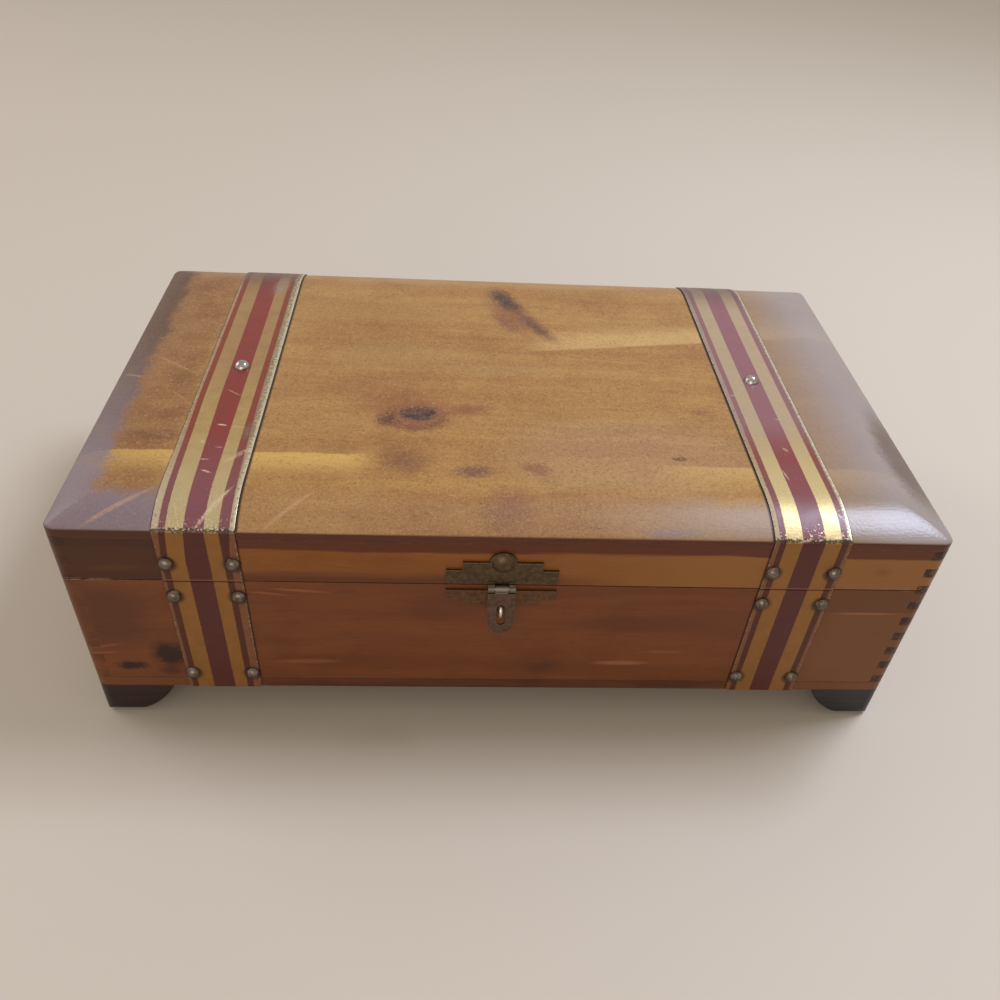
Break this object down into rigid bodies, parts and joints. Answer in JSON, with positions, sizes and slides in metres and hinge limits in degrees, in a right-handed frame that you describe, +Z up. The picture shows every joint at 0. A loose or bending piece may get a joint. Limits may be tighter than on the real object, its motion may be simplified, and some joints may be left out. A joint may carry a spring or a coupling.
{
  "type": "ditty box",
  "caption": "Shallow finger-jointed cedar keepsake box with a hinged pillow-topped lid, striped metal straps held by domed nails, a stepped hasp and dark bracket feet.",
  "frame": {"origin": "on the floor, under the middle of the overall size, which reaches from the loose hasp tongue in front to the hinge knuckles behind", "axes": "+X to the box's right seen from the front, +Y towards the hinges at the back, +Z up"},
  "size_m": [0.28, 0.1796, 0.0952],
  "materials": {
    "base_cedar": "varnished red cedar, satin, worn at the edges",
    "lid_cedar": "varnished red cedar with pale sapwood, satin, scuffed along the front",
    "foot_wood": "black-brown stained and varnished wood",
    "strap_metal": "tinplate strip printed in maroon and old-gold stripes, bare tin at worn edges",
    "nail_bronze": "oxidised bronze finish on domed steel nail heads",
    "hasp_bronze": "dark antique bronze finish on stamped steel",
    "staple_wire": "bright nickelled wire",
    "stud_steel": "bright polished domed head",
    "hinge_brass": "aged brass-plated stamped steel"
  },
  "bodies": {
    "base": {"base_floor": "base_cedar", "base_front": "base_cedar", "base_back": "base_cedar", "base_left": "base_cedar", "base_right": "base_cedar", "foot_front_left": "foot_wood", "foot_front_right": "foot_wood", "foot_back_left": "foot_wood", "foot_back_right": "foot_wood", "base_strap_front_left": "strap_metal", "base_strap_front_right": "strap_metal", "base_strap_back_left": "strap_metal", "base_strap_back_right": "strap_metal", "base_front_nails": "nail_bronze", "base_back_nails": "nail_bronze", "hasp_lower_plate": "hasp_bronze", "hasp_staple": "staple_wire", "hinge_base_leaf_left": "hinge_brass", "hinge_base_leaf_right": "hinge_brass", "hinge_pin_left": "hinge_brass", "hinge_pin_right": "hinge_brass", "hinge_base_nails": "hinge_brass"},
    "lid": {"lid_board": "lid_cedar", "lid_front": "lid_cedar", "lid_back": "lid_cedar", "lid_left": "lid_cedar", "lid_right": "lid_cedar", "lid_strap_left": "strap_metal", "lid_strap_right": "strap_metal", "lid_front_nails": "nail_bronze", "lid_back_nails": "nail_bronze", "strap_studs": "stud_steel", "hasp_upper_plate": "hasp_bronze", "hasp_pin": "hasp_bronze", "hinge_lid_leaf_left": "hinge_brass", "hinge_lid_leaf_right": "hinge_brass", "hinge_lid_nails": "hinge_brass"},
    "hasp": {"hasp_tongue": "hasp_bronze"}
  },
  "joints": [
    {"name": "lid_hinge", "type": "hinge", "parent": "base", "child": "lid", "pos_m": [0, 0.0883, 0.0671], "axis": [-1, 0, 0], "range_deg": [0, 170]},
    {"name": "hasp_hinge", "type": "hinge", "parent": "lid", "child": "hasp", "pos_m": [-0.0022, -0.0836, 0.0671], "axis": [-1, 0, 0], "range_deg": [-22, 143]}
  ]
}
